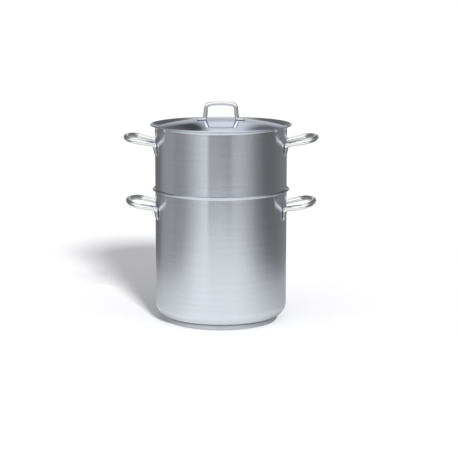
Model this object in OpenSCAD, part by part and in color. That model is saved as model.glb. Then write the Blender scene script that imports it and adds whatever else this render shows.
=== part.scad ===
// Two-tier steamer pot in sheet steel: a tall pot on a sandwich base, a steamer
// section that plugs into it, and a domed lid seated in the steamer's flared rim.
// The origin is the centre of the underside, +Z is up and the side handles lie along X.

/* [Sheet] */
// Outer diameter of the straight walls, the same on both tiers
wall_d = 362; // [320:1:400]
// Thickness of the sheet that the pot, the steamer and the lid are drawn from
sheet_t = 1.0; // [0.8:0.1:1.4]

/* [Pot] */
// Height of the pot's rim above the table
pot_h = 366; // [300:1:440]
// Outer radius of the corner between the pot's wall and its floor
pot_corner_r = 33; // [26:1:42]
// How far the pot's rim flares out beyond the wall
pot_flare = 7.4; // [6.5:0.1:10]
// Angle that the pot's rim turns through
pot_flare_angle = 56; // [50:1:75]

/* [Base] */
// Diameter of the sandwich base
base_d = 312.8; // [300:0.4:318]
// Height of the sandwich base
base_h = 13; // [10:0.5:18]
// Thickness of the steel cap pressed over the aluminium core
cap_t = 1.0; // [0.6:0.1:1.5]
// Radius of the cap's lower edge
cap_edge_r = 4; // [2.5:0.5:6]

/* [Steamer] */
// Height of the steamer's rim above the pot's rim
steamer_rise = 175; // [140:1:220]
// How far the steamer's rim flares out beyond the wall
steamer_flare = 13; // [11:0.5:16]
// Angle that the steamer's rim turns through
steamer_flare_angle = 104; // [95:1:110]
// Outer radius of the rounded shoulder that rests in the pot's rim
shoulder_r = 4; // [3:0.5:5]
// Radius of the neck between the shoulder and the plug
neck_r = 3; // [2:0.5:4]
// Free space between the steamer's plug and the pot's wall
plug_clearance = 1.2; // [0.8:0.1:2]
// Height of the plug below the neck, without its lower corner
plug_h = 22; // [15:1:40]
// Outer radius of the plug's lower corner
plug_corner_r = 6; // [4:0.5:8]
// Width of the flat ledge that carries the perforated floor
ledge_w = 9; // [6:0.5:14]

/* [Perforated floor] */
// Thickness of the floor plate
floor_t = 1.2; // [1:0.1:2]
// Free space between the floor plate and the plug's corner
floor_clearance = 0.4; // [0.2:0.1:1]
// Diameter of a steam hole
hole_d = 8; // [5:0.5:9]
// Distance between neighbouring steam holes
hole_pitch = 20; // [16:1:26]
// Plain border of the floor plate, inside the ledge
hole_margin = 4; // [2:1:12]

/* [Lid] */
// How far the lid's flat edge reaches past the walls, into the steamer's flare
lid_overhang = 1; // [-0.5:0.1:5]
// Width of the lid's flat edge
lid_edge_w = 8; // [5:0.5:14]
// Height of the dome above the flat edge
dome_rise = 17; // [12:0.5:26]

/* [Side handles] */
// Outer diameter of the side handles' tube
grip_d = 14; // [12:0.5:16]
// Distance between the legs of a pot handle at the wall
pot_grip_pitch = 118; // [100:1:126]
// Distance between the legs of a steamer handle at the wall
steamer_grip_pitch = 100; // [90:1:126]
// Angle by which the side handles rise outwards
grip_tilt = 11; // [6:1:16]
// Depth of the side handles' legs below the rim of their own tier
grip_drop = 50; // [44:1:60]
// Reach of the pot's handles, from the wall to the middle of the outer bar
pot_grip_reach = 74.5; // [68:0.5:84]
// Reach of the steamer's handles, from the wall to the middle of the outer bar
steamer_grip_reach = 79; // [68:0.5:84]
// Bend radius of the side handles' corners
grip_corner_r = 25; // [20:1:30]
// Radius of the side handles' bowed outer bar
grip_bar_r = 130; // [110:5:200]
// Thickness of a side handle's pressed feet at the toe
grip_foot_t = 4.2; // [3.6:0.1:5]
// Thickness of a side handle's pressed feet where the bend begins
grip_heel_t = 9; // [6:0.2:10]
// Length of a side handle's pressed feet below the bend
grip_foot_len = 20; // [14:1:24]
// Bend radius between a side handle's leg and its foot
grip_foot_r = 12.5; // [10:0.5:14]

/* [Lid handle] */
// Outer diameter of the lid handle's tube
knob_d = 11.5; // [10:0.5:13]
// Distance between the two bends where the lid handle's feet leave the lid
knob_pitch = 104; // [94:1:120]
// Angle by which each leg of the lid handle leans inwards
knob_lean = 6.5; // [2:0.5:10]
// Height of the lid handle above the middle of the lid
knob_h = 50.5; // [42:0.5:64]
// Bend radius of the lid handle's corners
knob_corner_r = 10; // [9:0.5:14]
// Radius of the lid handle's bowed bar
knob_bar_r = 180; // [140:5:260]
// Thickness of the lid handle's pressed feet at the toe
knob_foot_t = 3.6; // [3.2:0.1:4.5]
// Thickness of the lid handle's pressed feet where the bend begins
knob_heel_t = 5.4; // [4.6:0.2:8]
// Length of the lid handle's pressed feet beyond the bend
knob_foot_len = 13; // [10:1:18]
// Bend radius between the lid handle's leg and its foot
knob_foot_r = 9; // [8:0.5:11]

/* [Fits] */
// Wall thickness of the handle tubes
tube_t = 1.5; // [1:0.1:2]
// Height of the seam that stays open in a pressed tube end
seam_t = 0.6; // [0.4:0.1:1]
// Width of the seam that stays open in a pressed tube end
seam_w = 5; // [3:0.5:7]
// Free space left for the weld under each foot
weld_gap = 0.05; // [0.02:0.01:0.2]
// Free space between a loose tier and the rim that it rests in
seat_gap = 0.3; // [0.1:0.05:0.5]

/* [Hidden] */
wall_r = wall_d / 2;
base_r = base_d / 2;
foot_sides = 20;
foot_rings = 5;
// How far a tube's joints stand proud, so that the bent and straight pieces merge cleanly
joint_bead = 0.03;

// A rim's flare is one arc about a centre outside the wall
function flare_r(out, angle) = out / (1 - cos(angle)) - sheet_t / 2;
function flare_height(r, angle) =
    angle > 90 ? r + sheet_t : (r + sheet_t / 2) * sin(angle) + sheet_t / 2;
pot_flare_r = flare_r(pot_flare, pot_flare_angle);
pot_flare_z = pot_h - flare_height(pot_flare_r, pot_flare_angle);
steamer_h = pot_h + steamer_rise;
steamer_flare_r = flare_r(steamer_flare, steamer_flare_angle);
steamer_flare_z = steamer_h - flare_height(steamer_flare_r, steamer_flare_angle);

// Height above a flare's centre at which a round edge of radius r rests in that
// flare, when the edge's own centre lies the given distance inside the flare's
function seat_rise(flare, r, inset) = sqrt(pow(flare + sheet_t + seat_gap + r, 2) - pow(inset, 2));

// The steamer's wall ends in a shoulder and a neck, which lead to the plug
shoulder_z = pot_flare_z + seat_rise(pot_flare_r, shoulder_r, pot_flare_r + shoulder_r);
plug_r = wall_r - sheet_t - plug_clearance;
step_angle = acos(1 - (wall_r - plug_r) / (shoulder_r + neck_r));
plug_top_z = shoulder_z - (shoulder_r + neck_r) * sin(step_angle);
plug_bottom_z = plug_top_z - plug_h - plug_corner_r;
plug_flat_r = plug_r - plug_corner_r;
ledge_inner_r = plug_flat_r - ledge_w;

// The lid's flat edge rests in the steamer's flare, and the dome is part of a sphere
lid_r = wall_r + lid_overhang;
lid_lip_inset = wall_r + steamer_flare_r - lid_r + sheet_t / 2;
lid_edge_z = steamer_flare_z + seat_rise(steamer_flare_r, sheet_t / 2, lid_lip_inset) - sheet_t / 2;
dome_foot_r = lid_r - lid_edge_w;
dome_r = (pow(dome_foot_r, 2) + pow(dome_rise, 2)) / (2 * dome_rise);
dome_z = lid_edge_z + sheet_t + dome_rise - dome_r;

// The lid handle's feet lie on the dome, and its legs lean towards each other
knob_slope = asin(knob_pitch / 2 / dome_r);
knob_turn = 90 - knob_lean - knob_slope;
knob_bend_x = knob_foot_r - knob_d / 2 + knob_heel_t;
knob_leg_lift = dome_r + weld_gap + knob_bend_x - knob_foot_r * cos(knob_turn);
knob_leg_in = knob_foot_r * sin(knob_turn);
knob_leg_x = knob_leg_lift * sin(knob_slope) - knob_leg_in * cos(knob_slope);
knob_leg_z = dome_z + knob_leg_lift * cos(knob_slope) + knob_leg_in * sin(knob_slope);

// A band of sheet bent about a centre, from angle a0 to angle a1
module bent_band(centre, r, a0, a1) {
    far = 2 * (r + sheet_t);
    mid = (a0 + a1) / 2;
    translate(centre) intersection() {
        difference() {
            circle(r = r + sheet_t, $fn = 96);
            circle(r = r, $fn = 96);
        }
        polygon([[0, 0], far * [cos(a0), sin(a0)], 2 * far * [cos(mid), sin(mid)],
                 far * [cos(a1), sin(a1)]]);
    }
}

// A straight stretch of upright sheet with its outer face at r
module wall_band(r, z0, z1) {
    translate([r - sheet_t, z0]) square([sheet_t, z1 - z0]);
}

// A rim that flares outwards from the wall and ends in a rounded lip
module flared_rim(r, z, angle) {
    centre = [wall_r + r, z];
    lip = r + sheet_t / 2;
    bent_band(centre, r, 180 - angle, 180);
    translate(centre + lip * [-cos(angle), sin(angle)]) circle(d = sheet_t, $fn = 48);
}

module turned() {
    rotate_extrude($fn = 180) children();
}

module pot_shell() {
    flat_r = wall_r - pot_corner_r;
    color("gainsboro") turned() {
        translate([0, base_h]) square([flat_r, sheet_t]);
        bent_band([flat_r, base_h + pot_corner_r], pot_corner_r - sheet_t, -90, 0);
        wall_band(wall_r, base_h + pot_corner_r, pot_flare_z);
        flared_rim(pot_flare_r, pot_flare_z, pot_flare_angle);
    }
}

// Outline of the base, drawn in by t from its underside and its edge
module base_outline(t) {
    flat_r = base_r - cap_edge_r;
    translate([0, cap_edge_r]) square([base_r - t, base_h - cap_edge_r]);
    translate([0, t]) square([flat_r, cap_edge_r]);
    translate([flat_r, cap_edge_r]) circle(r = cap_edge_r - t, $fn = 64);
}

module base_core() {
    color("lightgray") turned() base_outline(cap_t);
}

module base_cap() {
    color("silver") turned() difference() {
        base_outline(0);
        base_outline(cap_t);
    }
}

module steamer_shell() {
    color("gainsboro") turned() {
        translate([ledge_inner_r, plug_bottom_z]) square([ledge_w, sheet_t]);
        bent_band([plug_flat_r, plug_bottom_z + plug_corner_r], plug_corner_r - sheet_t, -90, 0);
        wall_band(plug_r, plug_bottom_z + plug_corner_r, plug_top_z);
        bent_band([plug_r + neck_r, plug_top_z], neck_r, 180 - step_angle, 180);
        bent_band([wall_r - shoulder_r, shoulder_z], shoulder_r - sheet_t, -step_angle, 0);
        wall_band(wall_r, shoulder_z, steamer_flare_z);
        flared_rim(steamer_flare_r, steamer_flare_z, steamer_flare_angle);
    }
}

// A plate on the plug's ledge with a staggered pattern of steam holes
module steamer_floor() {
    reach = ledge_inner_r - hole_margin - hole_d / 2;
    row_step = hole_pitch * sin(60);
    rows = floor(reach / row_step);
    columns = floor(reach / hole_pitch) + 1;
    color("whitesmoke") translate([0, 0, plug_bottom_z + sheet_t]) linear_extrude(floor_t)
        difference() {
            circle(r = plug_flat_r - floor_clearance, $fn = 180);
            for (row = [-rows : rows], column = [-columns : columns]) {
                spot = [(column + abs(row % 2) / 2) * hole_pitch, row * row_step];
                if (norm(spot) <= reach) translate(spot) circle(d = hole_d, $fn = 32);
            }
        }
}

module lid_shell() {
    half = asin(dome_foot_r / dome_r);
    color("gainsboro") turned() {
        bent_band([0, dome_z], dome_r - sheet_t, 90 - half, 90);
        translate([dome_foot_r - sheet_t, lid_edge_z])
            square([lid_edge_w + sheet_t / 2, sheet_t]);
        translate([lid_r - sheet_t / 2, lid_edge_z + sheet_t / 2])
            circle(d = sheet_t, $fn = 48);
    }
}

// The joint between a bent and a straight piece of tube of radius r that runs along Z
module joint(r) {
    sphere(r = r + joint_bead, $fn = 48);
}

// A round tube bent into a bow in the XY plane, open towards -X. Each leg starts
// the given distance along the line that crosses the Y axis at foot_y and leans
// out by angle; out is how far the middle of the bar lies from the Y axis.
module bow(r, start, foot_y, angle, out, corner_r, bar_r) {
    along = [cos(angle), sin(angle)];
    first = [corner_r * sin(angle) - out + bar_r, foot_y - corner_r * cos(angle)];
    reach = sqrt(pow(first * along, 2) - first * first + pow(bar_r - corner_r, 2))
        - first * along;
    corner = first + reach * along;
    half = atan2(corner[1], corner[0]);
    translate([out - bar_r, 0, 0]) {
        for (side = [0, 1]) mirror([0, side, 0]) {
            translate([bar_r - out, foot_y, 0]) rotate([0, 0, angle]) {
                translate([start, 0, 0]) rotate([0, 90, 0])
                    cylinder(r = r, h = reach - start, $fn = 48);
                for (x = [start, reach]) translate([x, 0, 0]) rotate([0, 90, 0]) joint(r);
            }
            rotate([0, 0, half]) translate([bar_r, 0, 0]) rotate([90, 0, 0]) joint(r);
            translate([corner[0], corner[1], 0]) rotate([0, 0, half])
                rotate_extrude(angle = angle + 90 - half, $fn = 96)
                    translate([corner_r, 0]) circle(r = r, $fn = 48);
        }
        rotate([0, 0, -half]) rotate_extrude(angle = 2 * half, $fn = 240)
            translate([bar_r, 0]) circle(r = r, $fn = 48);
    }
}

// A bend in the XZ plane about the given x, which starts upwards and turns towards +X
module foot_bend(r, x, bend_r, from, to) {
    translate([x, 0, 0]) rotate([90, 0, 0]) rotate([0, 0, 180 - to])
        rotate_extrude(angle = to - from, $fn = 96)
            translate([bend_r, 0]) circle(r = r, $fn = 48);
}

// A tube's end pressed against the plane x = 0. It runs down from the bend's start
// by len, with rounded corners at its toe, and grows round again in the bend, which
// turns by angle. The tube keeps its girth. Drawn hollow, it is the space inside.
module pressed_end(r, toe_t, heel_t, len, bend_r, angle, hollow) {
    inner_r = bend_r - r;
    bend_x = inner_r + heel_t;
    last = acos(bend_x / (bend_r + r));
    end_r = 6;
    // Each station is [height, angle of the bend, half thickness, loss of half width]
    toe = [for (b = [90 : -30 : 30]) [end_r - len - end_r * sin(b), 0, toe_t / 2,
        end_r * (1 - cos(b))]];
    heel = [for (u = [0 : 1]) [u == 0 ? end_r - len : 0, 0,
        (u == 0 ? toe_t + (heel_t - toe_t) * end_r / len : heel_t) / 2, 0]];
    bend = [for (i = [1 : foot_rings]) let (a = last * i / foot_rings)
        [0, a, (bend_x / cos(a) - inner_r) / 2, 0]];
    stations = concat(toe, heel, bend, [[0, last + 4, r - 0.4, 0]]);
    points = [for (s = stations, i = [0 : foot_sides - 1])
        let (a = (i + 0.5) * 360 / foot_sides,
             half_w = s[2] + max(r - s[2], 0) * PI / 2 - s[3],
             width = sign(cos(a)) * max(half_w - s[2], 0) + s[2] * cos(a),
             depth = s[2] * sin(a),
             out = s[1] == 0 ? s[2] - depth : bend_x - (inner_r + s[2] + depth) * cos(s[1]),
             up = s[1] == 0 ? 0 : (inner_r + s[2] + depth) * sin(s[1]))
        [out, width, s[0] + up]];
    ends = len(stations) - 1;
    skin = [for (k = [0 : ends - 1], i = [0 : foot_sides - 1])
        let (j = (i + 1) % foot_sides, low = k * foot_sides, high = low + foot_sides)
        each [[low + i, high + j, low + j], [low + i, high + i, high + j]]];
    if (!hollow) {
        polyhedron(points = points, faces = concat(
            [[for (i = [0 : foot_sides - 1]) i]], skin,
            [[for (i = [foot_sides - 1 : -1 : 0]) ends * foot_sides + i]]));
        foot_bend(r, bend_x, bend_r, last + 0.5, angle);
    } else {
        // The bore of the bend, and the seam that the press leaves open down to the toe
        bore_top = sqrt(pow(bend_r + r - tube_t, 2) - pow(bend_x - toe_t / 2, 2));
        foot_bend(r - tube_t, bend_x, bend_r, last + 1, angle);
        translate([(toe_t - seam_t) / 2, -seam_w / 2, -len - 1])
            cube([seam_t, seam_w, len + bore_top + 0.3]);
    }
}

// The tube of a side handle, or the space inside it. The legs leave the wall
// squarely in plan, and rise with the handle's own plane.
module side_tube(pitch, reach, z, hollow) {
    r = grip_d / 2;
    turn = asin(pitch / 2 / wall_r);
    slope = atan(tan(grip_tilt) * cos(turn));
    leg_angle = atan(tan(turn) * cos(grip_tilt));
    out = (wall_r + reach) / cos(grip_tilt);
    leg_x = wall_r + weld_gap + grip_foot_r - r + grip_heel_t - grip_foot_r * sin(slope);
    foot_z = leg_x * tan(slope) - grip_foot_r * cos(slope);
    translate([0, 0, z - wall_r * tan(slope)]) {
        rotate([0, -grip_tilt, 0]) bow(hollow ? r - tube_t : r, leg_x / cos(slope),
            0, leg_angle, out, grip_corner_r, grip_bar_r);
        for (side = [-1, 1]) rotate([0, 0, side * turn])
            translate([wall_r + weld_gap, 0, foot_z]) pressed_end(r, grip_foot_t,
                grip_heel_t, grip_foot_len, grip_foot_r, 90 - slope, hollow);
    }
}

module side_handle(pitch, reach, z) {
    color("whitesmoke") difference() {
        side_tube(pitch, reach, z, false);
        side_tube(pitch, reach, z, true);
    }
}

module pot_handle_left() {
    rotate([0, 0, 180]) side_handle(pot_grip_pitch, pot_grip_reach, pot_h - grip_drop);
}

module pot_handle_right() {
    side_handle(pot_grip_pitch, pot_grip_reach, pot_h - grip_drop);
}

module steamer_handle_left() {
    rotate([0, 0, 180]) side_handle(steamer_grip_pitch, steamer_grip_reach, steamer_h - grip_drop);
}

module steamer_handle_right() {
    side_handle(steamer_grip_pitch, steamer_grip_reach, steamer_h - grip_drop);
}

// The tube of the lid handle, or the space inside it
module lid_tube(hollow) {
    r = knob_d / 2;
    out = dome_z + dome_r + knob_h - r - knob_leg_z;
    translate([0, 0, knob_leg_z]) rotate([0, -90, -90]) bow(hollow ? r - tube_t : r, 0,
        knob_leg_x, -knob_lean, out, knob_corner_r, knob_bar_r);
    for (side = [0, 180]) translate([0, 0, dome_z]) rotate([0, knob_slope, side])
        translate([0, 0, dome_r + weld_gap]) rotate([0, -90, 0]) pressed_end(r, knob_foot_t,
            knob_heel_t, knob_foot_len, knob_foot_r, knob_turn, hollow);
}

module lid_handle() {
    color("whitesmoke") difference() {
        lid_tube(false);
        lid_tube(true);
    }
}

pot_shell();
base_core();
base_cap();
pot_handle_left();
pot_handle_right();
steamer_shell();
steamer_floor();
steamer_handle_left();
steamer_handle_right();
lid_shell();
lid_handle();
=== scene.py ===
# %% [markdown]
# # A two-tier steamer pot
#
# A tall stainless steel pot stands on a thick sandwich base. A steamer section plugs
# into its mouth, and a shallow domed lid lies in the steamer's flared rim. Two bent
# tube handles are welded to each tier and one to the lid.
#
# The solids come from the CAD frame. Here each sheet-metal piece is spun again as a
# smooth skin, each handle is bent again from a smooth tube, and every surface gets
# its own steel finish. The pieces' lengths are written in millimetres, as on a
# drawing, and divided by 1000 where a vertex is placed. Blender, the camera and the
# shaders count in metres.

# %% Load the frame
import math

import bmesh
import bpy
from mathutils import Matrix, Vector


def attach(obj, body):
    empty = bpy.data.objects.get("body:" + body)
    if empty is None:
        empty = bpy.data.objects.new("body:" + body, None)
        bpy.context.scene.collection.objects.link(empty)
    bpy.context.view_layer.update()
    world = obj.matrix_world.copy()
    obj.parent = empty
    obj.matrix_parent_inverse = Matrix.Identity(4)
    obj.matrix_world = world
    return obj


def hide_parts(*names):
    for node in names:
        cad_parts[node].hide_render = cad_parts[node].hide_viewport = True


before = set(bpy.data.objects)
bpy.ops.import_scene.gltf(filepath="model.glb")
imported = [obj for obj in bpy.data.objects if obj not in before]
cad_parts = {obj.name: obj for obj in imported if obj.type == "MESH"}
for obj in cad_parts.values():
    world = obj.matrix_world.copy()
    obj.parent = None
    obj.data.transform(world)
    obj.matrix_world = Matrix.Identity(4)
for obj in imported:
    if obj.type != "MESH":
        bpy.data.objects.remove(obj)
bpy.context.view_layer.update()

# %% [markdown]
# ## The camera
#
# The photograph looks down on the pot from about ten degrees, and the walls hardly
# converge, so it was taken with a long lens from far off: four metres fits best. The
# focal length is measured in pixels of the photograph, which any sensor width then
# turns into a lens. The pot stands a little left of the middle of the frame. Turning
# the camera would make the pot lean, so a small lens shift moves the picture instead.

# %% Camera
CAMERA_DISTANCE = 4.066
CAMERA_HEIGHT = 0.970
CAMERA_PITCH = math.radians(10.035)
CAMERA_YAW = math.radians(1.5)
SENSOR_WIDTH = 36.0
PHOTO_PIXELS = 458
FOCAL_PIXELS = 1489.5
SHIFT_PIXELS = 8.0

lens = bpy.data.cameras.new("photo_camera")
lens.sensor_width = SENSOR_WIDTH
lens.lens = SENSOR_WIDTH * FOCAL_PIXELS / PHOTO_PIXELS
lens.shift_x = SHIFT_PIXELS / PHOTO_PIXELS
camera = bpy.data.objects.new("photo_camera", lens)
camera.location = (
    CAMERA_DISTANCE * math.sin(CAMERA_YAW),
    -CAMERA_DISTANCE * math.cos(CAMERA_YAW),
    CAMERA_HEIGHT,
)
camera.rotation_euler = (math.pi / 2 - CAMERA_PITCH, 0, CAMERA_YAW)
bpy.context.scene.collection.objects.link(camera)
bpy.context.scene.camera = camera
print("camera: %.1f mm lens" % lens.lens)

# %% [markdown]
# ## Drawing a sheet in section
#
# A pan is pressed or spun from flat sheet, so its section is one long strip of even
# thickness. It could be a single line with a Solidify modifier, but that leaves square
# edges, and light catches a pot first on its rounded lips. So the strip is drawn as a
# walk with a pen: straight lengths and bends along one face, a half turn round the lip,
# and the same moves back along the other face, with the thickness added to or taken
# from each bend. `bmesh.ops.spin` makes every bend from the pen's tip alone.

# %% A pen that walks along a section
SHEET = 1.0
LIP_STEPS = 8


class SectionPen:
    """Draws a section in the XZ plane with extruded and spun vertices."""

    def __init__(self, x, z):
        self.bm = bmesh.new()
        self.tip = self.bm.verts.new((x / 1000, 0, z / 1000))
        self.first = self.tip
        self.heading = 0.0

    def line(self, length):
        """A straight length in the present direction."""
        angle = math.radians(self.heading)
        step = Vector((math.cos(angle), 0, math.sin(angle))) * length / 1000
        self.tip = bmesh.ops.extrude_vert_indiv(self.bm, verts=[self.tip])["verts"][0]
        bmesh.ops.translate(self.bm, verts=[self.tip], vec=step)

    def bend(self, radius, turn, steps):
        """An arc that turns left by that many degrees, or right if turn is negative."""
        side = math.radians(self.heading + math.copysign(90, turn))
        centre = self.tip.co + Vector((math.cos(side), 0, math.sin(side))) * radius / 1000
        made = bmesh.ops.spin(
            self.bm,
            geom=[self.tip],
            cent=centre,
            axis=(0, 1, 0),
            angle=-math.radians(turn),
            steps=steps,
        )
        self.tip = next(v for v in made["geom_last"] if isinstance(v, bmesh.types.BMVert))
        self.heading += turn

    def walk(self, move, thickness):
        """A move along one face, or back along the other face, a thickness away.

        A move is a length, or else a radius, a turn in degrees and a number of steps.
        """
        if len(move) == 1:
            self.line(move[0])
            return
        radius, turn, steps = move
        if thickness:
            radius -= math.copysign(thickness, turn)
            turn = -turn
        self.bend(radius, turn, steps)

    def sheet(self, moves):
        """A strip of sheet to the left of the moves, with a rounded lip at the far end."""
        for move in moves:
            self.walk(move, 0)
        self.bend(SHEET / 2, 180, LIP_STEPS)
        for move in reversed(moves):
            self.walk(move, SHEET)


# %% [markdown]
# ## Spinning a section into a shell
#
# A metal spinner turns the sheet about the pot's axis, and one full `bmesh.ops.spin`
# does the same with the drawn section. A Screw modifier would give this shape too, but
# here the seam and the pole are closed and the normals turned outwards in the same
# step. With 288 steps round the pot its rims stay smooth in a close view.

# %% Shells
STEPS_AROUND = 288


def new_piece(name, bm):
    """Makes an object from a bmesh, with smooth shading, and links it."""
    mesh = bpy.data.meshes.new(name)
    bm.to_mesh(mesh)
    bm.free()
    mesh.shade_smooth()
    piece = bpy.data.objects.new(name, mesh)
    bpy.context.scene.collection.objects.link(piece)
    print("%s: %d faces" % (name, len(mesh.polygons)))
    return piece


def spin_shell(name, pen, close=False):
    """Turns a drawn section about the pot's axis into a closed shell.

    A section that starts away from the axis is joined up first, with close.
    """
    bm = pen.bm
    if close:
        bm.edges.new((pen.tip, pen.first))
    bmesh.ops.spin(
        bm,
        geom=bm.verts[:] + bm.edges[:],
        cent=(0, 0, 0),
        axis=(0, 0, 1),
        angle=2 * math.pi,
        steps=STEPS_AROUND,
        use_merge=True,
    )
    bmesh.ops.remove_doubles(bm, verts=bm.verts, dist=1e-6)
    bmesh.ops.dissolve_degenerate(bm, edges=bm.edges, dist=1e-7)
    bmesh.ops.recalc_face_normals(bm, faces=bm.faces)
    return new_piece(name, bm)


# %% [markdown]
# ## Rims
#
# Each tier ends in a rim that flares out, so that the tier above slides into its seat,
# and whose edge is rolled over, so that no hand meets cut sheet. A rim is one bend, a
# straight run and a tight roll. The run could be given as a length, but on a real pot
# it is the rim's reach that is measured, so the length is worked out from the reach.
#
# The rims bend more tightly than those of the solids, which have no rolled edge.
# Everything else below repeats the solids' own sizes.

# %% The moves of a rim
HEM_R = 1.2
HEM_TURN = 200.0


def rim(out, angle, bend_r):
    """A rim's bend, its straight run and its rolled edge, and how high they rise."""
    turn = math.radians(angle)
    middle_r = bend_r + SHEET / 2
    run = (out - middle_r * (1 - math.cos(turn)) - HEM_R * (1 + math.cos(turn))) / math.sin(turn)
    rise = (middle_r - HEM_R) * math.sin(turn) + run * math.cos(turn) + HEM_R + SHEET / 2
    moves = [(bend_r, -angle, 16), (run,), (HEM_R - SHEET / 2, -HEM_TURN, 14)]
    return moves, rise


# %% [markdown]
# ## The pot
#
# The pot is drawn deep from one sheet: a flat floor, a generous corner that a spoon and
# a sponge can follow, a straight wall and the flared rim. It could be a cylinder with a
# bevelled edge, but the section keeps the sheet's thickness all the way round the
# corner, and the inside shows when the steamer is lifted.

# %% Pot shell
WALL_R = 181.0
BASE_H = 13.0
POT_H = 366.0
POT_CORNER_R = 33.0
POT_FLARE = 7.4
POT_FLARE_ANGLE = 56.0
POT_RIM_BEND_R = 7.0

pot_rim, pot_rim_h = rim(POT_FLARE, POT_FLARE_ANGLE, POT_RIM_BEND_R)
pot_rim_z = POT_H - pot_rim_h
pen = SectionPen(0, BASE_H)
pen.sheet(
    [
        (WALL_R - POT_CORNER_R,),
        (POT_CORNER_R, 90, 20),
        (pot_rim_z - BASE_H - POT_CORNER_R,),
    ]
    + pot_rim
)
spin_shell("pot_skin", pen)
print("pot: rim starts at %.1f mm" % pot_rim_z)

# %% [markdown]
# ## The steamer section
#
# The steamer has the same straight wall. At the bottom the wall steps inwards through a
# rounded shoulder, which rests in the bend of the pot's rim, to a short plug with a
# ledge for the perforated floor. At the top its rim reaches farther out than the pot's,
# and is lifted a little against the solid's, because the lid would sink in the tighter
# bend. The shoulder's height could be a number of its own, but it is worked out from
# where the two bends touch, so that the tiers stay seated if a radius changes. A gap
# of 0.3 mm keeps the skins apart there.

# %% Steamer shell
SEAT_GAP = 0.3
SHOULDER_R = 4.0
NECK_R = 3.0
PLUG_R = 178.8
PLUG_H = 22.0
PLUG_CORNER_R = 6.0
LEDGE_W = 9.0
STEAMER_H = 541.0
STEAMER_RIM_LIFT = 2.6
STEAMER_FLARE = 13.0
STEAMER_FLARE_ANGLE = 56.0
STEAMER_RIM_BEND_R = 8.0

steamer_rim, steamer_rim_h = rim(STEAMER_FLARE, STEAMER_FLARE_ANGLE, STEAMER_RIM_BEND_R)
steamer_rim_z = STEAMER_H + STEAMER_RIM_LIFT - steamer_rim_h
step_turn = math.degrees(math.acos(1 - (WALL_R - PLUG_R) / (SHOULDER_R + NECK_R)))
between_bends = POT_RIM_BEND_R + SHEET + SEAT_GAP + SHOULDER_R
shoulder_z = pot_rim_z + math.sqrt(between_bends**2 - (POT_RIM_BEND_R + SHOULDER_R) ** 2)
plug_top_z = shoulder_z - (SHOULDER_R + NECK_R) * math.sin(math.radians(step_turn))
plug_bottom_z = plug_top_z - PLUG_H - PLUG_CORNER_R
pen = SectionPen(PLUG_R - PLUG_CORNER_R - LEDGE_W, plug_bottom_z)
pen.sheet(
    [
        (LEDGE_W,),
        (PLUG_CORNER_R, 90, 8),
        (PLUG_H,),
        (NECK_R, -step_turn, 6),
        (SHOULDER_R, step_turn, 8),
        (steamer_rim_z - shoulder_z,),
    ]
    + steamer_rim
)
spin_shell("steamer_skin", pen, close=True)
print("steamer: shoulder at %.1f, rim starts at %.1f mm" % (shoulder_z, steamer_rim_z))

# %% [markdown]
# ## The lid
#
# The lid is pressed to a very shallow dome with a narrow flat edge, which lies in the
# steamer's flare. A scaled sphere would give a dome too, but with a thickness that
# changes and a sharp crease at its foot. In section the dome is part of one large
# circle, so a single bend of the pen draws it, and a small bend leads over to the edge.

# %% Lid shell
LID_R = 182.0
LID_EDGE_W = 8.0
LID_EDGE_BEND_R = 5.0
DOME_RISE = 17.0

lip_inset = WALL_R + STEAMER_RIM_BEND_R - LID_R + SHEET / 2
lip_to_bend = STEAMER_RIM_BEND_R + SHEET + SEAT_GAP + SHEET / 2
lid_edge_z = steamer_rim_z + math.sqrt(lip_to_bend**2 - lip_inset**2) - SHEET / 2
dome_foot = LID_R - LID_EDGE_W
dome_r = (dome_foot**2 + DOME_RISE**2) / (2 * DOME_RISE)
dome_z = lid_edge_z + SHEET + DOME_RISE - dome_r
lid_top_z = dome_z + dome_r
dome_turn = math.degrees(math.asin(dome_foot / dome_r))
edge_start = (dome_r - SHEET + LID_EDGE_BEND_R) * math.sin(math.radians(dome_turn))
pen = SectionPen(0, lid_top_z - SHEET)
pen.sheet(
    [
        (dome_r - SHEET, -dome_turn, 40),
        (LID_EDGE_BEND_R, dome_turn, 4),
        (LID_R - SHEET / 2 - edge_start,),
    ]
)
spin_shell("lid_skin", pen)
print("lid: edge at %.1f, top at %.1f mm" % (lid_edge_z, lid_top_z))

# %% [markdown]
# ## The base
#
# Under the pot an aluminium disc spreads the heat. A shallow steel cap is pressed over
# it and brazed to the pot, and its rim ends just short of the pot's rounded corner. It
# is drawn with the same pen, because it is sheet as well, and its rounded lip leaves
# the thin dark seam that shows in front.

# %% Base cap
BASE_R = 156.4
CAP_EDGE_R = 4.0

pen = SectionPen(0, 0)
pen.sheet(
    [
        (BASE_R - CAP_EDGE_R,),
        (CAP_EDGE_R, 90, 10),
        (BASE_H - CAP_EDGE_R - SHEET / 2,),
    ]
)
spin_shell("cap_skin", pen)

# %% [markdown]
# ## Bent tube handles
#
# Each handle is one length of steel tube. A curve with a round bevel would be the quick
# way, but its ends can't be pressed flat, as the real feet are. So the tube is made the
# way a tube bender makes it: a ring of vertices is extruded along the straight runs and
# spun round the bends. Only half a handle is bent, from the middle of the bar to one
# foot, and then mirrored, because the halves are alike.

# %% A tube bender
RING_SIDES = 40


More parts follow.
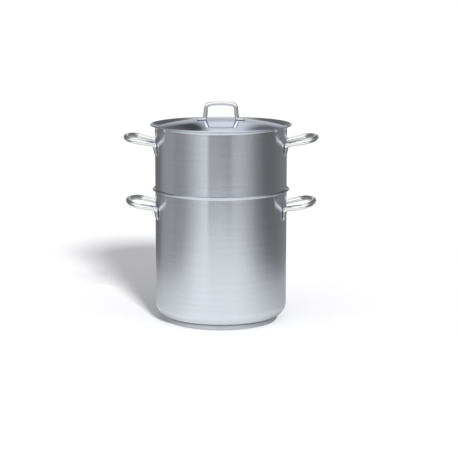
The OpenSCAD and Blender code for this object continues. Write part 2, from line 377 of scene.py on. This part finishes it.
class TubeBender:
    """Sweeps a ring of vertices through straight runs, bends and pressed sections."""

    def __init__(self, radius, place):
        self.bm = bmesh.new()
        self.radius = radius
        made = bmesh.ops.create_circle(
            self.bm, segments=RING_SIDES, radius=radius / 1000, matrix=place
        )
        self.verts = made["verts"]
        self.edges = list({e for v in self.verts for e in v.link_edges})
        self.flats = []

    def keep(self, geom):
        """Remembers the newest ring."""
        self.verts = [g for g in geom if isinstance(g, bmesh.types.BMVert)]
        self.edges = [g for g in geom if isinstance(g, bmesh.types.BMEdge)]

    def straight(self, step):
        """A straight run along the given step, in metres."""
        self.keep(bmesh.ops.extrude_edge_only(self.bm, edges=self.edges)["geom"])
        bmesh.ops.translate(self.bm, verts=self.verts, vec=step)

    def bend(self, centre, axis, angle, steps):
        """A bend about an axis through the centre."""
        made = bmesh.ops.spin(
            self.bm,
            geom=self.verts + self.edges,
            cent=centre,
            axis=axis,
            angle=angle,
            steps=steps,
        )
        self.keep(made["geom_last"])

    def press(self, matrix, half_thickness):
        """The next ring, moved by matrix, and flattened once the tube is whole."""
        self.keep(bmesh.ops.extrude_edge_only(self.bm, edges=self.edges)["geom"])
        bmesh.ops.transform(self.bm, matrix=matrix, verts=self.verts)
        self.flats.append((self.verts, half_thickness))

    def flatten(self, frames):
        """Moves every vertex of each pressed ring to within its half thickness."""
        for (verts, half), (middle, normal) in zip(self.flats, frames):
            for v in verts:
                depth = (v.co - middle).dot(normal)
                if abs(depth) > half:
                    v.co -= normal * (depth - math.copysign(half, depth))

    def mirrored(self, axis):
        """Closes the toe and adds the other half across the middle ring's plane."""
        bmesh.ops.contextual_create(self.bm, geom=self.edges)
        half = self.bm.verts[:] + self.bm.edges[:] + self.bm.faces[:]
        bmesh.ops.mirror(self.bm, geom=half, axis=axis, merge_dist=1e-6)
        bmesh.ops.recalc_face_normals(self.bm, faces=self.bm.faces)
        return self.bm


# %% [markdown]
# ## Bending the bow
#
# Seen along its plane's normal, a handle is a bow: a slightly curved bar for the palm,
# two tight corners, and two legs that run straight to the wall. The radii and the legs'
# direction are chosen. The corner's centre is worked out from them, because the corner
# has to meet both the bar and the leg without a kink, which points set by eye don't.

# %% Bows
BAR_STEPS = 24
CORNER_STEPS = 20


def bow_half(radius, plane, foot_y, leg_angle, out, corner_r, bar_r, leg_start):
    """Half a bow in the XY plane of a matrix, from the middle of its bar to a leg.

    The corner's centre lies beside the leg by the corner's radius, and inside the bar's
    arc by the same. Beside and corner are both seen from the centre of that arc.
    """
    angle = math.radians(leg_angle)
    along = Vector((math.cos(angle), math.sin(angle)))
    beside = Vector(
        (corner_r * math.sin(angle) - out + bar_r, foot_y - corner_r * math.cos(angle))
    )
    lead = beside.dot(along)
    reach = math.sqrt(lead**2 - beside.dot(beside) + (bar_r - corner_r) ** 2) - lead
    corner = beside + reach * along
    half = math.atan2(corner.y, corner.x)
    up = plane.to_3x3() @ Vector((0, 0, 1))
    ring = plane @ Matrix.Translation((out / 1000, 0, 0)) @ Matrix.Rotation(math.pi / 2, 4, "X")
    bender = TubeBender(radius, ring)
    bender.bend(plane @ Vector(((out - bar_r) / 1000, 0, 0)), up, half, BAR_STEPS)
    turn_at = Vector(((out - bar_r + corner.x) / 1000, corner.y / 1000, 0))
    bender.bend(plane @ turn_at, up, angle + math.pi / 2 - half, CORNER_STEPS)
    run = plane.to_3x3() @ Vector((along.x, along.y, 0)) * (leg_start - reach) / 1000
    bender.straight(run)
    return bender


# %% [markdown]
# ## Pressing the feet
#
# At the wall the tube's end is bent down and squeezed in a press, thick at the heel and
# thin at the toe, so that it lies flat enough to be spot-welded. Scaling the last ring
# would make a flat oval, but a squeezed tube keeps its girth: what it loses in
# thickness it gains in width, and its faces are flat. So each ring is carried to its
# place and size with a matrix, a little too thick, and then held between two jaws.

# %% Feet
FOOT_BEND_STEPS = 12
CURVED_RINGS = 7
FLAT_RINGS = 4
TOE_RINGS = 5
TOE_CORNER_R = 6.0
OVERFILL = 0.35


def foot_sections(inner_r, heel, toe, length, last):
    """Sections of a foot in its own frame, from the bend to the toe.

    Each is its distance from the surface, its height, its tilt, half its thickness, and
    what the toe's rounded corners take from half its width.
    """
    heel_x = inner_r + heel
    sections = []
    for step in range(CURVED_RINGS + 1):
        tilt = last * (CURVED_RINGS - step) / CURVED_RINGS
        half = (heel_x / math.cos(tilt) - inner_r) / 2
        middle = inner_r + half
        sections.append(
            (heel_x - middle * math.cos(tilt), middle * math.sin(tilt), tilt, half, 0)
        )
    for step in range(1, FLAT_RINGS + 1):
        z = -(length - TOE_CORNER_R) * step / FLAT_RINGS
        thick = heel + (toe - heel) * -z / length
        sections.append((thick / 2, z, 0, thick / 2, 0))
    for step in range(1, TOE_RINGS + 1):
        round_off = math.radians(90) * step / TOE_RINGS
        z = TOE_CORNER_R - length - TOE_CORNER_R * math.sin(round_off)
        sections.append((toe / 2, z, 0, toe / 2, TOE_CORNER_R * (1 - math.cos(round_off))))
    return sections


def section_matrix(across, normal, middle, half_width, half_thickness, radius):
    """Maps a round ring of the radius to a section of the given half sizes."""
    along = across.cross(normal)
    scaled = Matrix(
        (
            across * half_width / radius,
            normal * half_thickness / radius,
            along,
        )
    ).transposed()
    return Matrix.Translation(middle) @ scaled.to_4x4()


def press_end(bender, foot, toe, heel, length, bend_r, angle):
    """Bends the tube's end down from a leg to its foot and presses it to a flat toe.

    Foot places the foot's own frame: X points off the surface and Z along the foot.
    """
    r = bender.radius
    inner_r = bend_r - r
    bend_x = inner_r + heel
    last = math.acos(bend_x / (bend_r + r))
    spun = foot.to_3x3()
    across = spun @ Vector((0, 1, 0))
    bender.bend(foot @ Vector((bend_x / 1000, 0, 0)), across, last - angle, FOOT_BEND_STEPS)
    before = None
    frames = []
    for x, z, tilt, half, loss in foot_sections(inner_r, heel, toe, length, last):
        middle = foot @ Vector((x / 1000, 0, z / 1000))
        normal = spun @ Vector((-math.cos(tilt), 0, math.sin(tilt)))
        width = half + (r - half) * math.pi / 2 - loss
        filled = 1 + OVERFILL * (r - half) / r
        now = section_matrix(across, normal, middle, width, half * filled, r)
        if before is not None:
            bender.press(now @ before.inverted(), half / 1000)
            frames.append((middle, normal))
        before = now
    bender.flatten(frames)


# %% [markdown]
# ## Side handles
#
# The four side handles are bent on one tool, tilted up a little so that a hand comes
# clear of the hot wall. The steamer's pair has its feet closer together and reaches
# farther out than the pot's, past the pair below. Each handle could be modelled in
# place, but all four are bent on the +X side and the left ones turned half round. A
# gap of 0.05 mm under each foot stands for its welds.

# %% Side handles
WELD_GAP = 0.05
GRIP_R = 7.0
GRIP_TILT = math.radians(11)
GRIP_DROP = 50.0
GRIP_CORNER_R = 25.0
GRIP_BAR_R = 130.0
GRIP_TOE = 4.2
GRIP_HEEL = 9.0
GRIP_FOOT_LEN = 20.0
GRIP_FOOT_R = 12.5
POT_GRIP_PITCH = 118.0
POT_GRIP_REACH = 74.5
STEAMER_GRIP_PITCH = 100.0
STEAMER_GRIP_REACH = 79.0


def side_handle(name, pitch, reach, height, left):
    """A side handle whose legs meet the wall at the given height."""
    turn = math.asin(pitch / 2 / WALL_R)
    slope = math.atan(math.tan(GRIP_TILT) * math.cos(turn))
    leg_angle = math.degrees(math.atan(math.tan(turn) * math.cos(GRIP_TILT)))
    out = (WALL_R + reach) / math.cos(GRIP_TILT)
    leg_x = WALL_R + WELD_GAP + GRIP_FOOT_R - GRIP_R + GRIP_HEEL
    leg_x -= GRIP_FOOT_R * math.sin(slope)
    foot_z = leg_x * math.tan(slope) - GRIP_FOOT_R * math.cos(slope)
    low = height - WALL_R * math.tan(slope)
    plane = Matrix.Translation((0, 0, low / 1000)) @ Matrix.Rotation(-GRIP_TILT, 4, "Y")
    bender = bow_half(
        GRIP_R, plane, 0, leg_angle, out, GRIP_CORNER_R, GRIP_BAR_R, leg_x / math.cos(slope)
    )
    foot = Matrix.Rotation(turn, 4, "Z") @ Matrix.Translation(
        ((WALL_R + WELD_GAP) / 1000, 0, (low + foot_z) / 1000)
    )
    press_end(
        bender, foot, GRIP_TOE, GRIP_HEEL, GRIP_FOOT_LEN, GRIP_FOOT_R, math.pi / 2 - slope
    )
    bm = bender.mirrored("Y")
    if left:
        half_turn = Matrix.Rotation(math.pi, 3, "Z")
        bmesh.ops.rotate(bm, verts=bm.verts, cent=(0, 0, 0), matrix=half_turn)
    return new_piece(name, bm)


for tier, pitch, reach, rim_z in (
    ("pot", POT_GRIP_PITCH, POT_GRIP_REACH, POT_H),
    ("steamer", STEAMER_GRIP_PITCH, STEAMER_GRIP_REACH, STEAMER_H),
):
    for side in ("left", "right"):
        name = "%s_grip_%s" % (tier, side)
        side_handle(name, pitch, reach, rim_z - GRIP_DROP, side == "left")

# %% [markdown]
# ## The lid handle
#
# The lid's handle is a thinner tube that stands upright. Its legs lean towards each
# other a little, and its pressed feet point away from each other along the dome. The
# same bender makes it: only its plane is upright, and the foot's frame lies on the dome
# instead of the wall.

# %% Lid handle
LID_GRIP_R = 5.75
LID_GRIP_PITCH = 104.0
LID_GRIP_LEAN = 6.5
LID_GRIP_H = 50.5
LID_GRIP_CORNER_R = 10.0
LID_GRIP_BAR_R = 180.0
LID_GRIP_TOE = 3.6
LID_GRIP_HEEL = 5.4
LID_GRIP_FOOT_LEN = 13.0
LID_GRIP_FOOT_R = 9.0

foot_slope = math.asin(LID_GRIP_PITCH / 2 / dome_r)
foot_turn = math.pi / 2 - math.radians(LID_GRIP_LEAN) - foot_slope
foot_bend_x = LID_GRIP_FOOT_R - LID_GRIP_R + LID_GRIP_HEEL
leg_lift = dome_r + WELD_GAP + foot_bend_x - LID_GRIP_FOOT_R * math.cos(foot_turn)
leg_in = LID_GRIP_FOOT_R * math.sin(foot_turn)
leg_x = leg_lift * math.sin(foot_slope) - leg_in * math.cos(foot_slope)
leg_z = dome_z + leg_lift * math.cos(foot_slope) + leg_in * math.sin(foot_slope)
bar_height = lid_top_z + LID_GRIP_H - LID_GRIP_R - leg_z
upright = Matrix.Rotation(-math.pi / 2, 4, "Z") @ Matrix.Rotation(-math.pi / 2, 4, "Y")
plane = Matrix.Translation((0, 0, leg_z / 1000)) @ upright
bender = bow_half(
    LID_GRIP_R, plane, leg_x, -LID_GRIP_LEAN, bar_height, LID_GRIP_CORNER_R, LID_GRIP_BAR_R, 0
)
foot = (
    Matrix.Translation((0, 0, dome_z / 1000))
    @ Matrix.Rotation(foot_slope, 4, "Y")
    @ Matrix.Translation((0, 0, (dome_r + WELD_GAP) / 1000))
    @ Matrix.Rotation(-math.pi / 2, 4, "Y")
)
press_end(
    bender, foot, LID_GRIP_TOE, LID_GRIP_HEEL, LID_GRIP_FOOT_LEN, LID_GRIP_FOOT_R, foot_turn
)
new_piece("lid_grip", bender.mirrored("X"))

# %% [markdown]
# ## Shader arithmetic
#
# A material is a tree of nodes, and its maths is hard to read when every node is made
# and linked by hand. So a small class wraps an output socket, and an expression such as
# `1 - mask * 0.5` adds its own Math nodes. Numbers that don't change over a surface are
# worked out in Python, which costs no nodes.

# %% Values
class Value:
    """An output socket that takes part in arithmetic."""

    def __init__(self, graph, socket):
        self.graph = graph
        self.socket = socket

    def math(self, operation, *others):
        """One Math node that starts from this value."""
        return self.graph.math(operation, self, *others)

    def __add__(self, other):
        return self.math("ADD", other)

    def __sub__(self, other):
        return self.math("SUBTRACT", other)

    def __rsub__(self, other):
        return self.graph.math("SUBTRACT", other, self)

    def __mul__(self, other):
        return self.math("MULTIPLY", other)

    def __truediv__(self, other):
        return self.math("DIVIDE", other)

    __radd__ = __add__
    __rmul__ = __mul__


# %% [markdown]
# ## Shader graphs
#
# Any other node comes from one method, `Graph.node`, which takes its type, its settings
# and what its sockets get, a number or a link. The nodes that the steel and the studio
# need again and again have a short method each. Mix has several sockets of one name,
# for numbers and for colours, so those for colours are picked by their places.

# %% Graphs
MIX_FACTOR = 0
MIX_A = 6
MIX_B = 7
MIX_RESULT = 2


def set_stops(elements, stops):
    """Fills a colour ramp with greys, from pairs of position and level."""
    while len(elements) < len(stops):
        elements.new(0.5)
    for element, (place, level) in zip(elements, sorted(stops)):
        element.position = place
        element.color = (level, level, level, 1)


class Graph:
    """A shader node tree that is built from nothing."""

    def __init__(self, tree):
        self.tree = tree
        tree.nodes.clear()

    def node(self, kind, settings=None, sockets=None):
        """Adds a node, and returns a function that picks one of its outputs."""
        made = self.tree.nodes.new(kind)
        for key, setting in (settings or {}).items():
            if key == "stops":
                set_stops(made.color_ramp.elements, setting)
            else:
                setattr(made, key, setting)
        for key, given in (sockets or {}).items():
            if isinstance(given, Value):
                self.tree.links.new(given.socket, made.inputs[key])
            else:
                made.inputs[key].default_value = given
        return lambda output: Value(self, made.outputs[output])

    def math(self, operation, *numbers):
        """One Math node on values or numbers."""
        settings = {"operation": operation}
        return self.node("ShaderNodeMath", settings, dict(enumerate(numbers)))("Value")

    def ramp(self, value, stops):
        """A grey colour ramp through pairs of position and level."""
        return self.node("ShaderNodeValToRGB", {"stops": stops}, {"Fac": value})("Color")

    def smooth(self, value, low, high):
        """Rises smoothly from 0 at low to 1 at high."""
        settings = {"interpolation_type": "SMOOTHSTEP"}
        sockets = {"Value": value, "From Min": low, "From Max": high}
        return self.node("ShaderNodeMapRange", settings, sockets)("Result")

    def split(self, vector):
        """The X, Y and Z of a vector."""
        made = self.node("ShaderNodeSeparateXYZ", None, {"Vector": vector})
        return made("X"), made("Y"), made("Z")

    def join(self, x, y, z):
        """A vector or colour from three values."""
        return self.node("ShaderNodeCombineXYZ", None, {"X": x, "Y": y, "Z": z})("Vector")

    def mix(self, factor, a, b):
        """A colour between a and b."""
        sockets = {MIX_FACTOR: factor, MIX_A: a, MIX_B: b}
        return self.node("ShaderNodeMix", {"data_type": "RGBA"}, sockets)(MIX_RESULT)

    def noise(self, place, scale, detail):
        """Noise between 0 and 1."""
        sockets = {"Vector": place, "Scale": scale, "Detail": detail}
        return self.node("ShaderNodeTexNoise", None, sockets)("Fac")

    def bump(self, height, strength, distance):
        """A normal that follows the height, which stands for a distance in metres."""
        sockets = {"Height": height, "Strength": strength, "Distance": distance}
        return self.node("ShaderNodeBump", None, sockets)("Normal")

    def finish(self, shader, kind="ShaderNodeOutputMaterial"):
        """Leads a shader to the output."""
        self.node(kind, None, {"Surface": shader})


def new_material(name):
    """A material and its empty graph."""
    material = bpy.data.materials.new(name)
    material.use_nodes = True
    return material, Graph(material.node_tree)


# %% [markdown]
# ## The studio's panels
#
# Steel has hardly a colour of its own: what it shows is the room. A studio could be
# built from dozens of area lamps and white cards, but each would have to be kept out of
# the picture and would add its own noise. Here the room is painted on the world instead,
# as levels of grey by direction, in two rings. The low ring has a bright panel left of
# the viewer and darker sides. The upper ring has a strong soft panel in front, and a
# dark back with one narrow strip of light, which is what the lid mirrors. A third ring
# is what the walls mirror in the floor close to the pot.

# %% Panels by direction
RING_STOPS = [
    (-180, 0.62),
    (-176, 0.56),
    (-171, 0.24),
    (-144, 0.17),
    (-128, 0.22),
    (-114, 0.38),
    (-92, 0.40),
    (-80, 0.35),
    (-64, 0.37),
    (-48, 0.54),
    (-30, 0.76),
    (-22, 0.80),
    (-18, 0.36),
    (16, 0.27),
    (22, 0.48),
    (34, 0.55),
    (48, 0.45),
    (64, 0.27),
    (80, 0.18),
    (98, 0.18),
    (138, 0.25),
    (171, 0.24),
    (176, 0.56),
    (180, 0.62),
]
UPPER_STOPS = [
    (-180, 1.00),
    (-177.2, 1.00),
    (-176.4, 0.06),
    (-174.5, 0.08),
    (-172, 0.25),
    (-150, 0.14),
    (-130, 0.22),
    (-112, 0.38),
    (-92, 0.55),
    (-74, 0.80),
    (-58, 1.40),
    (-38, 2.20),
    (34, 2.20),
    (52, 1.40),
    (70, 0.65),
    (92, 0.36),
    (130, 0.28),
    (150, 0.12),
    (173, 0.18),
    (177.5, 0.20),
    (179, 1.00),
    (180, 1.00),
]
NEAR_STOPS = [
    (-180, 0.50),
    (-150, 0.46),
    (-130, 0.55),
    (-96, 0.80),
    (-72, 0.93),
    (-36, 1.14),
    (20, 1.14),
    (48, 1.00),
    (72, 0.84),
    (108, 0.60),
    (144, 0.46),
    (180, 0.50),
]


def panel_ring(graph, x, y, stops):
    """Level of the studio by azimuth, which is 0 towards the viewer and positive right."""
    turn = x.math("ARCTAN2", y * -1) / (2 * math.pi) + 0.5
    return graph.ramp(turn, [(0.5 + degrees / 360, level) for degrees, level in stops])


print("panels: %d stops" % len(RING_STOPS + UPPER_STOPS + NEAR_STOPS))

# %% [markdown]
# ## The world
#
# The upper ring fades into the lower one, and a white ceiling closes the room. It
# starts higher at the left and right of the back, which gives the lid its two dark
# crescents. The camera itself sees plain white, so the pot stands on a white page: Light
# Path tells its rays from the others, and the light on the steel doesn't change.

# %% World
WHITE = (1.0, 1.0, 1.0, 1)
UPPER_RING_FADE = (0.14, 0.25)
CEILING_FADE = (0.38, 0.52)
CEILING_RISE = 0.42
BACK_SIDE_FADE = (0.06, 0.28)
BACK_FADE = (0.0, 0.2)

world = bpy.data.worlds.new("studio")
bpy.context.scene.world = world
world.use_nodes = True
graph = Graph(world.node_tree)
x, y, z = graph.split(graph.node("ShaderNodeTexCoord")("Generated"))
low = panel_ring(graph, x, y, RING_STOPS)
high = panel_ring(graph, x, y, UPPER_STOPS)
room = graph.mix(graph.smooth(z, *UPPER_RING_FADE), low, high)
off_middle = x.math("ABSOLUTE") / (x * x + y * y).math("SQRT")
back_sides = graph.smooth(off_middle, *BACK_SIDE_FADE) * graph.smooth(y, *BACK_FADE)
ceiling = graph.smooth(z - back_sides * CEILING_RISE, *CEILING_FADE)
room = graph.mix(ceiling, room, WHITE)
rays = graph.node("ShaderNodeLightPath")
seen = rays("Is Camera Ray").math("MAXIMUM", rays("Is Transmission Ray"))
backdrop = graph.node("ShaderNodeBackground", None, {"Color": graph.mix(seen, room, WHITE)})
graph.finish(backdrop("Background"), "ShaderNodeOutputWorld")
print("world: %d nodes" % len(world.node_tree.nodes))

# %% [markdown]
# ## The floor
#
# The pot stands on white paper that has no end. Its diffuse part shows the pot's soft
# shadow, and a faint glow of its own lifts that shadow. The steel sees another floor,
# because a studio's table is small: it is bright near the pot, fades into the low ring,
# and is darker close to the base, where the pot shades it, though less so in front. A
# real table with a dark room behind it would show its edge in the picture, so Light
# Path shows this one only in mirror images.

# %% Floor
FLOOR_HALF = 60
FLOOR_DROP = 0.0005
PAPER = (0.56, 0.56, 0.575, 1)
PAPER_GLOW = 0.03
BLACK = (0.0, 0.0, 0.0, 1)
TABLE_MIDDLE_Y = -0.35
TABLE_HALF_LENGTH = 1.5
TABLE_HALF_WIDTH = 0.9
TABLE_FADE = (0.68, 1.05)
SHADE_FADE = (0.150, 0.225)
SHADE_LEVEL = 0.52
SHADE_LOSS_IN_FRONT = 0.38
FRONT_FADE = (0.2, 0.9)

bm = bmesh.new()
bmesh.ops.create_grid(bm, x_segments=2, y_segments=2, size=FLOOR_HALF)
floor = new_piece("floor", bm)
floor.location.z = -FLOOR_DROP
paper, graph = new_material("white_floor")
x, y, _ = graph.split(graph.node("ShaderNodeTexCoord")("Object"))
far = panel_ring(graph, x, y, RING_STOPS)
near = panel_ring(graph, x, y, NEAR_STOPS)
ahead = (y - TABLE_MIDDLE_Y) / TABLE_HALF_LENGTH
aside = x / TABLE_HALF_WIDTH
away = (aside * aside + ahead * ahead).math("SQRT")
table = graph.mix(graph.smooth(away, *TABLE_FADE), near, far)
radius = (x * x + y * y).math("SQRT")
in_front = graph.smooth(y / radius * -1, *FRONT_FADE)
shade = SHADE_LEVEL - in_front * SHADE_LOSS_IN_FRONT
unshaded = 1 - (1 - graph.smooth(radius, *SHADE_FADE)) * shade
table = graph.mix(unshaded, BLACK, table)
lit = graph.node("ShaderNodeBsdfDiffuse", None, {"Color": PAPER})("BSDF")
glow = graph.node("ShaderNodeEmission", None, {"Strength": PAPER_GLOW})("Emission")
page = graph.node("ShaderNodeAddShader", None, {0: lit, 1: glow})("Shader")
mirror_image = graph.node("ShaderNodeEmission", None, {"Color": table})("Emission")
glossy = graph.node("ShaderNodeLightPath")("Is Glossy Ray")
shader = graph.node("ShaderNodeMixShader", None, {0: glossy, 1: page, 2: mirror_image})
graph.finish(shader("Shader"))
floor.data.materials.append(paper)
print("floor: %d nodes" % len(paper.node_tree.nodes))

# %% [markdown]
# ## The key lamp
#
# One strong soft lamp at the front right throws the shadow to the left and back. A sun
# is used, because its size is an angle, so that the shadow's edge can be matched
# without moving the lamp. It stays out of the steel's mirror images: its panel is part
# of the world.

# %% Key lamp
KEY_AZIMUTH = math.radians(17.2)
KEY_ELEVATION = math.radians(27.8)
KEY_SIZE = math.radians(9)
KEY_ENERGY = 6.7

sun = bpy.data.lights.new("key", "SUN")
sun.angle = KEY_SIZE
sun.energy = KEY_ENERGY
key = bpy.data.objects.new("key", sun)
key.rotation_euler = (math.pi / 2 - KEY_ELEVATION, 0, KEY_AZIMUTH)
key.visible_glossy = False
bpy.context.scene.collection.objects.link(key)
bpy.context.scene.view_settings.view_transform = "Standard"
print("key lamp: %.1f at %.0f degrees up" % (sun.energy, math.degrees(KEY_ELEVATION)))

# %% [markdown]
# ## Brushed steel
#
# The walls and the lid are brushed in circles, which smears every reflection along the
# pot's axis and keeps it sharp across. Thousands of modelled grooves would do that, at a
# great cost. The Principled shader's anisotropic setting does the same for the light,
# with a quarter turn that lays the brushing along the circumference. On top of it, fine
# and broad streaks that run round the axis vary the roughness, the colour and the
# height a little: they are noise over the radius and the height, stretched along the
# circumference. Where the base is brazed to the pot, a narrow band just below the joint
# is darkened: painted shade for the groove between the two parts.

# %% Brushed steel
FINE_LINES = (900, 1.5)
BROAD_BANDS = (130, 0.7)
FINE_DETAIL = 3.0
BROAD_DETAIL = 2.0
WEAR_SCALE = 9.0
WEAR_DETAIL = 4.0
FINE_ROUGHENING = 0.10
WEAR_ROUGHENING = 0.06
GROOVE_STRENGTH = 0.12
GROOVE_DEPTH = 0.00005
STEEL_TINT = (0.95, 1.0, 1.08)
SLANT_TINT = (0.84, 0.87, 0.95, 1)
BRUSHED_ROUND = 0.25
# Painted shade in the groove below the base's seam: how much darker, and how far below the seam
# in metres it begins and is full.
SEAM_SHADE = 0.25
SEAM_SHADE_START = 0.006
SEAM_SHADE_FULL = 0.001


def brushed(name, level, roughness, anisotropic, streaks, edge=WHITE, seam=None):
    """Circularly brushed steel about the Z axis. Edge tints what it shows at a slant.

    Seam is the height in metres of a brazed joint: the steel just below it gets painted shade.
    """
    material, graph = new_material(name)
    place = graph.node("ShaderNodeTexCoord")("Object")
    x, y, z = graph.split(place)
    radius = (x * x + y * y).math("SQRT")
    turn = x.math("ARCTAN2", y)
    across, along = FINE_LINES
    lines = graph.join(radius * across, z * across, turn * along)
    fine = graph.noise(lines, 1.0, FINE_DETAIL)
    across, along = BROAD_BANDS
    bands = graph.join(radius * across, z * across, turn * along)
    broad = graph.noise(bands, 1.0, BROAD_DETAIL)
    wear = graph.noise(place, WEAR_SCALE, WEAR_DETAIL)
    rough = roughness + (fine - 0.5) * FINE_ROUGHENING + (wear - 0.5) * WEAR_ROUGHENING
    shade = level * (1 - streaks + fine * streaks + broad * streaks)
    # Painted shade: the steel just below the seam is darkened, standing for the groove's shadow
    # between base and pot.
    if seam is not None:
        seam_shade = graph.smooth(z, seam - SEAM_SHADE_START, seam - SEAM_SHADE_FULL)
        shade = shade * (1 - seam_shade * SEAM_SHADE)
    steel = graph.node(
        "ShaderNodeBsdfPrincipled",
        None,
        {
            "Base Color": graph.join(*(shade * part for part in STEEL_TINT)),
            "Metallic": 1.0,
            "Roughness": rough,
            "Anisotropic": anisotropic,
            "Anisotropic Rotation": BRUSHED_ROUND,
            "Specular Tint": edge,
            "Normal": graph.bump(fine, GROOVE_STRENGTH, GROOVE_DEPTH),
        },
    )
    graph.finish(steel("BSDF"))
    print("%s: level %.2f, roughness %.2f" % (name, level, roughness))
    return material


wall_steel = brushed(
    "satin_wall_steel", level=0.66, roughness=0.19, anisotropic=0.9, streaks=0.09
)
lid_steel = brushed(
    "satin_lid_steel",
    level=0.66,
    roughness=0.08,
    anisotropic=0.6,
    streaks=0.06,
    edge=SLANT_TINT,
)
# The base cap carries painted shade just below its seam with the pot.
base_steel = brushed(
    "satin_base_steel",
    level=0.54,
    roughness=0.38,
    anisotropic=0.8,
    streaks=0.06,
    seam=BASE_H / 1000,
)
plate_steel = brushed(
    "plain_plate_steel", level=0.62, roughness=0.40, anisotropic=0.3, streaks=0.10
)
core_metal = brushed(
    "turned_aluminium", level=0.72, roughness=0.55, anisotropic=0.4, streaks=0.12
)

# %% [markdown]
# ## Polished tube
#
# The handles are polished on a soft wheel, which leaves no direction, so they get no
# anisotropy. A perfect mirror would look like glass or chrome: a faint haze from hands
# and washing and a few fine hairlines in the roughness and the bump keep it steel.

# %% Polished tube
HAZE_SCALE = 35.0
HAZE_DETAIL = 5.0
HAZE_SHADE = 0.06
HAZE_ROUGHENING = 0.08
HAIR_SCALE = 900.0
HAIR_DETAIL = 2.0
HAIR_ROUGHENING = 0.06
HAIR_STRENGTH = 0.08
HAIR_DEPTH = 0.00004
TUBE_TINT = (0.995, 1.0, 1.005)


def polished(name, level, roughness):
    """Polished tube with faint haze and fine scratches."""
    material, graph = new_material(name)
    place = graph.node("ShaderNodeTexCoord")("Object")
    haze = graph.noise(place, HAZE_SCALE, HAZE_DETAIL)
    hairs = graph.noise(place, HAIR_SCALE, HAIR_DETAIL)
    shade = level * (1 - HAZE_SHADE / 2 + haze * HAZE_SHADE)
    rough = roughness + (haze - 0.5) * HAZE_ROUGHENING + (hairs - 0.5) * HAIR_ROUGHENING
    steel = graph.node(
        "ShaderNodeBsdfPrincipled",
        None,
        {
            "Base Color": graph.join(*(shade * part for part in TUBE_TINT)),
            "Metallic": 1.0,
            "Roughness": rough,
            "Normal": graph.bump(hairs, HAIR_STRENGTH, HAIR_DEPTH),
        },
    )
    graph.finish(steel("BSDF"))
    print("%s: level %.2f, roughness %.2f" % (name, level, roughness))
    return material


tube_steel = polished("polished_tube_steel", level=0.80, roughness=0.14)

# %% [markdown]
# ## Bodies and finishes
#
# Every piece rides on the body that carries it, so that it moves with its tier, and
# takes the place of its solid. The perforated floor and the aluminium core could be
# rebuilt too, but their own solids have the right shape already, so they stay and only
# get a finish.

# %% Ride the bodies
for name, body, node, slot, material in (
    ("pot_skin", "pot", "pot_shell", "satin_steel", wall_steel),
    ("cap_skin", "pot", "base_cap", "satin_steel", base_steel),
    ("pot_grip_left", "pot", "pot_handle_left", "polished_steel", tube_steel),
    ("pot_grip_right", "pot", "pot_handle_right", "polished_steel", tube_steel),
    ("steamer_skin", "steamer", "steamer_shell", "satin_steel", wall_steel),
    ("steamer_grip_left", "steamer", "steamer_handle_left", "polished_steel", tube_steel),
    ("steamer_grip_right", "steamer", "steamer_handle_right", "polished_steel", tube_steel),
    ("lid_skin", "lid", "lid_shell", "satin_steel", lid_steel),
    ("lid_grip", "lid", "lid_handle", "polished_steel", tube_steel),
):
    piece = bpy.data.objects[name]
    piece.data.materials.append(material)
    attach(piece, body)
    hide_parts(node)
for node, material in (("steamer_floor", plate_steel), ("base_core", core_metal)):
    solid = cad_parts[node]
    solid.data.materials.clear()
    solid.data.materials.append(material)
